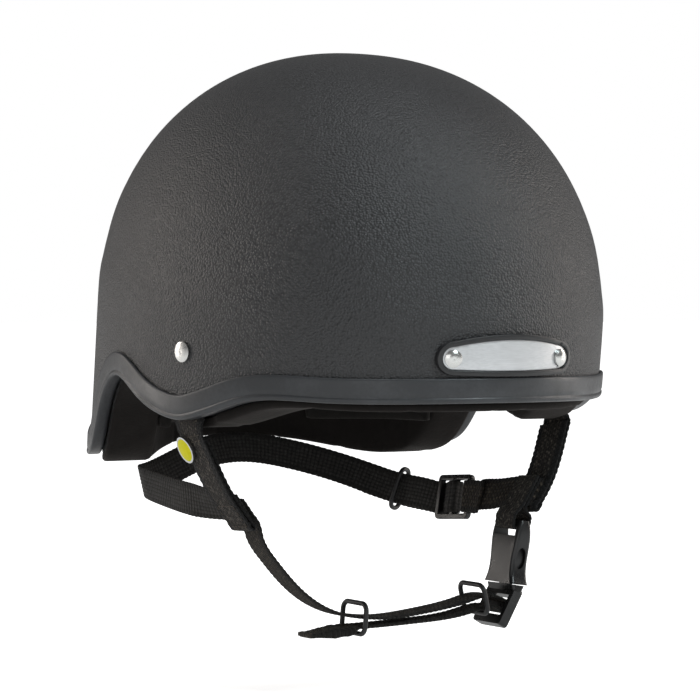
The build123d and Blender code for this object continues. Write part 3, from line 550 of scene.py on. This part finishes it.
def long_edge(corner, near, corners):
    """The vertices of a strap's long edge from a corner to its other end, or to a break in it."""
    rail = [corner, next(vertex for vertex in near[corner] if vertex not in corners)]
    while len(near[rail[-1]]) == 2:
        rail.append(next(vertex for vertex in near[rail[-1]] if vertex is not rail[-2]))
    return rail


def sections_from(corner, near, corners):
    """A strap's rows (middle, direction of the width, width, thickness) from the end that has this corner.

    Also the end's four corners, and whether the long edges reached the other end without a break.
    """
    thick, wide = sorted((v for v in near[corner] if v in corners), key=lambda v: (v.co - corner.co).length)
    far = next(v for v in near[wide] if v in corners and v is not corner)
    rails = [long_edge(start, near, corners) for start in (corner, thick, wide, far)]
    whole = all(rail[-1] in corners for rail in rails)
    count = min(len(rail) for rail in rails) - (0 if whole else 1)
    spots = np.array([[vertex.co for vertex in rail[:count]] for rail in rails]) / mm
    across = (spots[2] + spots[3] - spots[0] - spots[1]) / 2
    through = (spots[1] + spots[3] - spots[0] - spots[2]) / 2
    width, depth = np.linalg.norm(across, axis=1)[:, None], np.linalg.norm(through, axis=1)[:, None]
    used = {corner, thick, wide, far}
    return np.hstack([spots.mean(axis=0), across / width, width, depth]), used, whole


def strap_knots(node):
    """A strap's sections read from its CAD solid, in millimetres, from its higher end.

    The solid joins up rectangles, so each of its four long edges has one vertex for each section. Where the
    strap thickens at once the edges have a break, and they are walked from both ends. The width's direction
    is turned so that across x ahead points away from the head at the start.
    """
    solid = bmesh.new()
    solid.from_mesh(frame["nodes"][node].data)
    solid.transform(frame["nodes"][node].matrix_world)
    bmesh.ops.remove_doubles(solid, verts=solid.verts, dist=0.02 * mm)
    near = sharp_neighbours(solid)
    corners = {vertex for vertex in near if is_corner(vertex, near[vertex])}
    rows, used, whole = sections_from(max(corners, key=lambda v: v.co.z), near, corners)
    if not whole:
        rest = sections_from(next(iter(corners - used)), near, corners)[0][::-1]
        rest[:, 3:6] *= np.sign(rest[0, 3:6] @ rows[-1, 3:6])
        rows = np.vstack([rows, rest])
    solid.free()
    out = np.cross(rows[0, 3:6], rows[1, :3] - rows[0, :3])
    rows[:, 3:6] *= np.sign(out[:2] @ rows[0, :2])
    return rows


def strap_frames(knots, step):
    """A strap's middle line with its across and outward directions, in millimetres.

    across is the knots' direction made square to the line, outward = across x ahead. Also the widths,
    the thicknesses and the length walked from the start.
    """
    reach = np.linalg.norm(np.diff(knots[:, :3], axis=0), axis=1).sum()
    spots, rest = smooth_line(knots, int(reach / step) + 1)
    ahead = np.gradient(spots, axis=0)
    ahead /= np.linalg.norm(ahead, axis=1)[:, None]
    across = rest[:, :3] - ahead * (rest[:, :3] * ahead).sum(axis=1)[:, None]
    across /= np.linalg.norm(across, axis=1)[:, None]
    walked = np.concatenate([[0], np.cumsum(np.linalg.norm(np.diff(spots, axis=0), axis=1))])
    return spots, across, np.cross(across, ahead), rest[:, 3], rest[:, 4], walked


def strap_mesh(name, knots, rib=2.0, stagger=0.5, field=0.1, braid=0.2, braid_width=2.0, lumps=0.0):
    """A woven strap: a flat section carried along its knots, with floats in its field and braided selvedges.

    At a share a of the half width the half thickness is (t/2 + nap - weave) (1 - |a|^8)^(1/4). In the field
    lane k = floor(v / lane) has floats |sin(pi (u / rib + k stagger))|^0.7 |sin(pi v / lane)|^0.5. In the
    selvedges, braid_width wide, the braid is |sin(pi (u + 0.9 |v|) / (1.25 rib))|, and the edge itself is
    scalloped with it. The columns lie a little closer together towards the edges. lumps adds a slow swell,
    sin(turn) + sin(2.7 turn + 1) / 2, where the strap is thicker than two layers.
    """
    step, column, lane, nap_height, softness, scallop = 0.42, 0.62, 1.7, 0.04, 0.2, 0.03
    spots, across, out, width, thick, walked = strap_frames(knots, step)
    columns = 2 * int(width.max() / column) + 1
    share = np.linspace(-1, 1, columns)
    share = share * 0.9 + 0.1 * np.sin(share * pi / 2)
    side, length = share[None] * width[:, None] / 2, walked[:, None]
    selvedge = 1 / (1 + np.exp((width[:, None] / 2 - braid_width - np.abs(side)) / softness))
    floats = np.abs(np.sin(pi * (length / rib + np.floor(side / lane) * stagger))) ** 0.7
    floats = floats * np.abs(np.sin(pi * side / lane)) ** 0.5
    twist = np.abs(np.sin(pi * (length + 0.9 * np.abs(side)) / (1.25 * rib)))
    full = (1 - np.abs(share) ** 8) ** 0.25
    dip = field * (1 - floats) * (1 - selvedge) + braid * (1 - twist) * selvedge
    half = full * (thick[:, None] / 2 - dip + nap_height)
    if lumps:
        turn = length / 3.1 + share * 2.3
        swell = np.sin(turn) + 0.5 * np.sin(2.7 * turn + 1)
        half = half + full * lumps * np.clip(thick[:, None] / 2 - webbing_thickness, 0, 1) * swell
    reach = side * (1 - scallop * selvedge * (1 - twist[:, -1:]))
    middle = spots[:, None] + across[:, None] * reach[..., None]
    rise = out[:, None] * half[..., None]
    ring = np.concatenate([middle + rise, (middle - rise)[:, -2:0:-1]], axis=1)
    chart = np.stack(np.broadcast_arrays(length * mm, side * mm), axis=-1)
    chart = np.concatenate([chart, chart[:, -2:0:-1]], axis=1)
    return outward(grid_mesh(name, ring * mm, close_columns=True, chart=chart, ends=True))


def doubled_front(node):
    """A front strap's knots: down from the rivet, then two layers, folded round at the lower end.

    Each layer's middle lies a spread away from the middle of the doubled solid.
    """
    knots = strap_knots(node)
    doubled = knots[:, 7] > 2 * webbing_thickness
    spread, layer = 0.74, 1.34
    down = np.gradient(knots[:, :3], axis=0)
    down /= np.linalg.norm(down, axis=1)[:, None]
    out = np.cross(knots[:, 3:6], down)
    front, back = knots.copy(), knots[doubled].copy()
    front[doubled, :3] += out[doubled] * spread
    back[:, :3] -= out[doubled] * spread
    front[:, 7] = back[:, 7] = layer
    foot = knots[-1].copy()
    foot[:3] += down[-1] * spread
    foot[7] = layer
    return np.concatenate([front, foot[None], back[::-1]])


def strap_piece(name, knots, body, material, node, **shape):
    """A finished strap that stands for its CAD node."""
    return new_piece(name, strap_mesh(name, knots, **shape), body, "webbing", material, node)


# Sewing thread

def stitch_rows(rows, length=2.0, gap=0.9):
    """Each stitch's two ends as (length along the strap, place across it).

    A row is a pair of such places in millimetres, with stitches of one length and gap between them.
    """
    ends = []
    for start, end in rows:
        start, end = np.array(start, dtype=float), np.array(end, dtype=float)
        reach = np.linalg.norm(end - start)
        ahead = (end - start) / reach
        for walked in np.arange(0, reach - length, length + gap):
            ends.append([start + ahead * walked, start + ahead * (walked + length)])
    return np.array(ends)


def stitch_mesh(name, knots, rows, face):
    """Rows of stitches on one face of a strap: closed tubes whose middles rise by arch sin(pi s).

    Over its length a tube's radius is radius sin(pi s)^(2/5), with s kept between 0.06 and 0.94.
    """
    rings, sides, sunk, arch, radius = 7, 8, 0.02, 0.16, 0.24
    spots, across, out, _, thick, walked = strap_frames(knots, frame_step)
    ends = stitch_rows(rows)
    share = np.linspace(0, 1, rings)[None, :, None]
    where = ends[:, None, 0] * (1 - share) + ends[:, None, 1] * share
    reach, side = where[..., 0], where[..., 1]
    middle, wide, high = [np.stack([np.interp(reach, walked, part[:, axis]) for axis in range(3)], axis=-1)
                          for part in (spots, across, out * face)]
    lift = np.interp(reach, walked, thick)[..., None] / 2 - sunk + arch * np.sin(pi * share)
    centre = middle + wide * side[..., None] + high * lift
    run = centre[:, -1:] - centre[:, :1]
    beside = np.cross(run / np.linalg.norm(run, axis=-1, keepdims=True), high)
    angle = np.linspace(0, 2 * pi, sides, endpoint=False)[None, None, :, None]
    radius = radius * np.sin(pi * np.clip(share, 0.06, 0.94))[..., None] ** 0.4
    round_it = beside[:, :, None] * np.cos(angle) + high[:, :, None] * np.sin(angle)
    tube = centre[:, :, None] + radius * round_it
    r, c = np.meshgrid(np.arange(rings - 1) * sides, np.arange(sides), indexing="ij")
    after = (c + 1) % sides
    quads = np.stack([r + c, r + after, r + sides + after, r + sides + c], axis=-1).reshape(-1, 4)
    starts = np.arange(len(tube))[:, None] * rings * sides
    faces = (quads[None] + starts[..., None]).reshape(-1, 4).tolist()
    faces += (starts + np.arange(sides)[::-1]).tolist()
    faces += (starts + (rings - 1) * sides + np.arange(sides)).tolist()
    mesh = bpy.data.meshes.new(name)
    mesh.from_pydata((tube.reshape(-1, 3) * mm).tolist(), [], faces)
    mesh.shade_smooth()
    return outward(mesh)


def sewn(name, knots, rows, face=1):
    """Stitches as a piece of their own on a strap's face."""
    return new_piece(name, stitch_mesh(name, knots, rows, face), "helmet", "webbing", thread_cloth)


def cross_row(place, half):
    """A row of stitches across the strap, a little longer than the way between its two seams."""
    return (place, -half), (place, half + 0.2)


def box_rows(start, end, half):
    """A sewn box: two rows along the strap and two across it."""
    return [((start, -half), (end, -half)), ((start, half), (end, half)),
            cross_row(start, half), cross_row(end, half)]


wide_braid = {"braid": 0.3, "braid_width": 3.4, "rib": 2.3}
front_seam, anchor_seam = 7.6, 6.2
bars_above_fold = (44.0, 46.5)
for side in ("left", "right"):
    front_knots = doubled_front("front_strap_" + side)
    strap_piece("front_web_" + side, front_knots, "helmet", front_cloth, "front_strap_" + side, **wide_braid)
    front_spots, *_, front_walked = strap_frames(front_knots, frame_step)
    foot = front_walked[np.argmin(front_spots[:, 2])]
    bars = [cross_row(foot - above, front_seam) for above in bars_above_fold]
    sewn("front_stitches_" + side, front_knots, box_rows(foot - 13.5, foot - 2.6, front_seam) + bars)

strap_piece("nape_web", strap_knots("nape_strap"), "helmet", neck_cloth, "nape_strap",
            rib=2.2, stagger=0.0, field=0.22)
anchor_knots = strap_knots("nape_anchor_strap")
strap_piece("nape_anchor_web", anchor_knots, "helmet", chin_cloth, "nape_anchor_strap")
anchor_end = strap_frames(anchor_knots, frame_step)[-1][-1]
edge_rows = [((1.5, side), (14.0, side)) for side in (-anchor_seam, anchor_seam)]
sewn("nape_anchor_stitches", anchor_knots, edge_rows)
sewn("nape_fold_stitches", anchor_knots, box_rows(anchor_end - 9.0, anchor_end - 1.0, anchor_seam), -1)
strap_piece("buckle_loop_web", strap_knots("buckle_loop"), "helmet", front_cloth, "buckle_loop")
chin_web = strap_piece("chin_web", strap_knots("chin_strap"), None, chin_cloth, "chin_strap",
                       lumps=0.35, braid=0.28)
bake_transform(chin_web)


# Edge trim

trim_columns = 640


def trim_mesh():
    """The rubber channel: its section, in (offset, lift), is carried round the rim.

    The outer face has a bead at its foot, a shallow groove above it and a rounded top lip.
    """
    section = [
        (0.12, 10.35), (0.7, 10.42), (1.18, 10.3), (1.5, 9.9), (1.6, 9.3), (1.62, 8.2), (1.6, 6.5),
        (1.58, 4.8), (1.5, 3.4), (1.3, 2.75), (1.18, 2.5), (1.3, 2.25), (1.55, 1.9), (1.62, 1.4),
        (1.5, 0.75), (1.1, 0.25), (0.4, 0.02), (-0.8, 0.0), (-2.2, 0.0), (-3.6, 0.04), (-4.2, 0.3),
        (-4.55, 0.85), (-4.6, 1.6), (-4.6, 4.0), (-4.6, 7.0), (-4.58, 9.4), (-4.4, 10.1), (-3.9, 10.4),
        (-3.3, 10.4), (-3.06, 10.2), (-3.05, 8.0), (-3.05, 4.0), (-3.05, 1.62), (-2.0, 1.58),
        (-1.0, 1.58), (0.05, 1.62), (0.06, 4.0), (0.06, 8.0), (0.06, 10.1),
    ]
    section = np.array(section)
    turn = np.linspace(0, 2 * pi, trim_columns, endpoint=False)
    spots = rim_spots(turn[:, None], section[None, :, 1], section[None, :, 0])
    return outward(grid_mesh("rim_trim", spots * mm, close_rows=True, close_columns=True))


new_piece("rim_trim", trim_mesh(), "helmet", "trim", finishes["trim"], "edge_trim")


# Comfort lining

lining_columns = 720


def lining_mesh():
    """The padded headband: a closed section between the hem and the top, round the head.

    Foot and under points are (depth, lift) on the rim, rise points (depth, height as a share of the way
    from the rim to the top). The padding is drawn in by 0.5 mm at sewn lines that run up every 22 degrees,
    as exp(-(distance / 1.3 degrees)^2), and it is hollowed where the front straps pass it.
    """
    top, seam_every, seam_width, strap_turn, strap_width = 45.6, 22, 1.3, 73.7, 7.2
    foot = [(-5.7, 0.0), (-5.6, -1.2), (-5.75, -2.3), (-6.5, -3.1), (-7.6, -3.38), (-11, -3.4), (-16, -3.4),
            (-21, -3.4), (-25.5, -3.35), (-27.3, -2.7), (-28.0, -1.5)]
    rise = [(-28.2, 0.02), (-28.2, 0.2), (-28.2, 0.4), (-28.2, 0.6), (-28.2, 0.8), (-28.0, 0.95),
            (-27.2, 0.99), (-26, 1.0), (-24.8, 0.99), (-24.1, 0.95), (-23.9, 0.8), (-23.9, 0.6),
            (-23.9, 0.4), (-23.9, 0.2), (-23.9, 0.06)]
    under = [(-23.9, -0.1), (-22, -0.1), (-17, -0.1), (-12, -0.1), (-8.2, -0.1)]
    turn = np.linspace(0, 2 * pi, lining_columns, endpoint=False)
    degrees = np.degrees(turn)
    aside = np.abs((degrees + seam_every / 2) % seam_every - seam_every / 2)
    seam = 0.999 * np.exp(-(aside / seam_width) ** 2)
    from_strap = np.minimum(np.abs(degrees - strap_turn), np.abs(degrees - (360 - strap_turn)))
    channel = np.exp(-(from_strap / strap_width) ** 10)
    columns = []
    for depth, lift in foot:
        inward = depth - (2.6 * channel if depth > -9 else 0) + (0 if depth > -20 else 0.45 * seam)
        raised_hem = lift + (0.35 * seam if lift < -3 else 0)
        columns.append(rim_spots(turn, np.full(turn.shape, raised_hem), np.full(turn.shape, inward)))
    edge = rim_spots(turn, np.full(turn.shape, 0.0), np.full(turn.shape, -28.0))[:, 2]
    for depth, share in rise:
        up = edge + share * (top - edge)
        columns.append(wall_spots(turn, up, depth + (0.5 * seam if depth < -27 else 0)))
    for depth, lift in under:
        inward = depth - (1.0 * channel if depth > -9 else 0)
        columns.append(rim_spots(turn, np.full(turn.shape, lift), np.full(turn.shape, inward)))
    spots = np.stack(columns, axis=1)
    return outward(grid_mesh("headband_lining", spots * mm, close_rows=True, close_columns=True))


lining = new_piece("headband_lining", lining_mesh(), "helmet", "lining", finishes["lining"], "comfort_lining")


# Loose pads

pad_cell, pad_pressure, pad_frames, pad_move = 0.0021, 4.0, 14, 0.6


def puffed_pad(name, node, material):
    """A padded copy of a CAD pad, remeshed and then swollen by cloth pressure.

    Each of its points moves by pad_move at most.
    """
    mesh = frame["nodes"][node].data.copy()
    mesh.name = name
    pad = bpy.data.objects.new(name, mesh)
    bpy.context.collection.objects.link(pad)
    bpy.context.view_layer.objects.active = pad
    remesh = pad.modifiers.new("even_cells", "REMESH")
    remesh.mode, remesh.voxel_size = "VOXEL", pad_cell
    evaluated = pad.evaluated_get(bpy.context.evaluated_depsgraph_get())
    start = bpy.data.meshes.new_from_object(evaluated)
    pad.modifiers.clear()
    pad.data = start
    count = len(start.vertices)
    before = np.zeros(count * 3)
    start.vertices.foreach_get("co", before)
    cloth = pad.modifiers.new("pressure", "CLOTH")
    cloth.settings.use_pressure = True
    cloth.settings.uniform_pressure_force = pad_pressure
    cloth.settings.effector_weights.gravity = 0.0
    cloth.point_cache.frame_start, cloth.point_cache.frame_end = 1, pad_frames
    for step in range(1, pad_frames + 1):
        bpy.context.scene.frame_set(step)
    evaluated = pad.evaluated_get(bpy.context.evaluated_depsgraph_get())
    swollen = bpy.data.meshes.new_from_object(evaluated)
    pad.modifiers.clear()
    after = np.zeros(count * 3)
    swollen.vertices.foreach_get("co", after)
    move = (after - before).reshape(-1, 3)
    far = np.linalg.norm(move, axis=1)[:, None]
    move *= np.minimum(1, pad_move * mm / np.maximum(far, 1e-9))
    start.vertices.foreach_set("co", (before.reshape(-1, 3) + move).ravel())
    start.update()
    bpy.context.scene.frame_set(1)
    soft = pad.modifiers.new("rounded", "SMOOTH")
    soft.factor, soft.iterations = 0.5, 6
    start.shade_smooth()
    start.materials.clear()
    start.materials.append(material)
    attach(pad, "helmet")
    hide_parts(node)


puffed_pad("forehead_pad", "brow_pad", finishes["pad"])
puffed_pad("neck_cushions", "neck_pads", finishes["pad"])
puffed_pad("crown_cushion", "crown_pad", finishes["pad"])


# Moulded and metal pieces: their CAD solids with eased edges

def ease_edges(node, width, segments=3):
    """A weld and a bevel on a CAD node's sharp edges."""
    solid = frame["nodes"][node]
    solid.modifiers.new("joined", "WELD").merge_threshold = 0.01 * mm
    bevel = solid.modifiers.new("eased_edges", "BEVEL")
    bevel.width, bevel.segments = width * mm, segments
    bevel.limit_method, bevel.angle_limit = "ANGLE", radians(32)


edge_widths = {
    "buckle_socket": 0.45, "buckle_prong": 0.4, "latch_arm_front": 0.3, "latch_arm_rear": 0.3,
    "nape_slider": 0.5, "badge_bezel": 0.45, "badge_plate": 0.25, "strap_disc_ring": 0.2,
}
for eased, edge_width in edge_widths.items():
    ease_edges(eased, edge_width)


# Light, floor and backdrop

def soft_box(name, spot, size, power, colour=(1, 1, 1), aim=(0, 0, 0.03)):
    """A rectangular soft light at a spot, turned towards the cap."""
    light = bpy.data.lights.new(name, "AREA")
    light.shape, light.size, light.size_y = "RECTANGLE", size[0], size[1]
    light.energy, light.color = power, colour
    lamp = bpy.data.objects.new(name, light)
    lamp.location = spot
    lamp.rotation_euler = (Vector(aim) - Vector(spot)).to_track_quat("-Z", "Y").to_euler()
    bpy.context.collection.objects.link(lamp)


sideways = Vector((0, 0, 1)).cross(toward_camera).normalized()


def studio_spot(right, near, up):
    """A spot by its distance to the picture's right, towards the camera and up."""
    level = Vector((toward_camera.x, toward_camera.y, 0)).normalized()
    return sideways * right + level * near + Vector((0, 0, up))


soft_box("key_light", studio_spot(0.95, 0.95, 1.0), (0.55, 0.55), 11.0, (0.86, 0.97, 1.0))
soft_box("top_light", studio_spot(0.1, 0.35, 1.6), (1.0, 0.7), 9.0, (0.95, 0.98, 1.0))
soft_box("left_strip", studio_spot(-1.3, -0.35, 0.35), (0.35, 1.4), 9.0, (1.0, 0.93, 0.87))
soft_box("right_strip", studio_spot(1.3, -0.35, 0.35), (0.35, 1.4), 9.0, (1.0, 0.93, 0.87))
soft_box("front_fill", studio_spot(-0.4, 1.6, 0.15), (1.2, 0.8), 4.5)


def plain_white(name, colour, near, far):
    """A matt surface that the camera sees as white, a little less near the cap, so that its shadow stays."""
    material = bpy.data.materials.new(name)
    material.use_nodes = True
    tree = material.node_tree
    shader = tree.nodes["Principled BSDF"]
    shader.inputs["Base Color"].default_value = (*colour, 1)
    shader.inputs["Roughness"].default_value = 0.9
    path = add_node(tree, "ShaderNodeLightPath").outputs
    seen = calculate(tree, "MAXIMUM", path["Is Camera Ray"], path["Is Transmission Ray"])
    seen = calculate(tree, "MAXIMUM", seen, calculate(tree, "MULTIPLY", path["Is Glossy Ray"], 0.4))
    away = add_node(tree, "ShaderNodeVectorMath", {0: object_spot(tree, (1, 1, 0))}, operation="LENGTH")
    share = ramp(tree, away.outputs["Value"], 0.12, 0.55, near, far, "SMOOTHSTEP")
    glow = add_node(tree, "ShaderNodeEmission", {"Strength": calculate(tree, "MULTIPLY", seen, share)})
    both = add_node(tree, "ShaderNodeAddShader", {0: shader.outputs[0], 1: glow.outputs[0]})
    tree.links.new(both.outputs[0], tree.nodes["Material Output"].inputs["Surface"])
    return material


def floor_sheet():
    """A wide flat floor just below the lowest webbing when the buckle is open and the strap hangs lower."""
    open_drop, gap, half = 0.024, 0.002, 30.0
    low = cad_low[2] - open_drop - gap
    spots = np.array([[(-half, -half, low), (-half, half, low)], [(half, -half, low), (half, half, low)]])
    mesh = grid_mesh("studio_floor", spots)
    floor = bpy.data.objects.new("studio_floor", mesh)
    bpy.context.collection.objects.link(floor)
    mesh.materials.append(plain_white("floor_paper", (0.8, 0.8, 0.8), 0.72, 1.0))


floor_sheet()

world = bpy.data.worlds.new("studio_air")
bpy.context.scene.world = world
world.use_nodes = True
sky = world.node_tree
path = add_node(sky, "ShaderNodeLightPath").outputs
shown = calculate(sky, "MAXIMUM", path["Is Camera Ray"], path["Is Transmission Ray"])
strength = ramp(sky, shown, 0.0, 1.0, 0.22, 1.0)
sky.links.new(strength, sky.nodes["Background"].inputs["Strength"])
sky.nodes["Background"].inputs["Color"].default_value = (1, 1, 1, 1)
bpy.context.scene.view_settings.view_transform = "Standard"
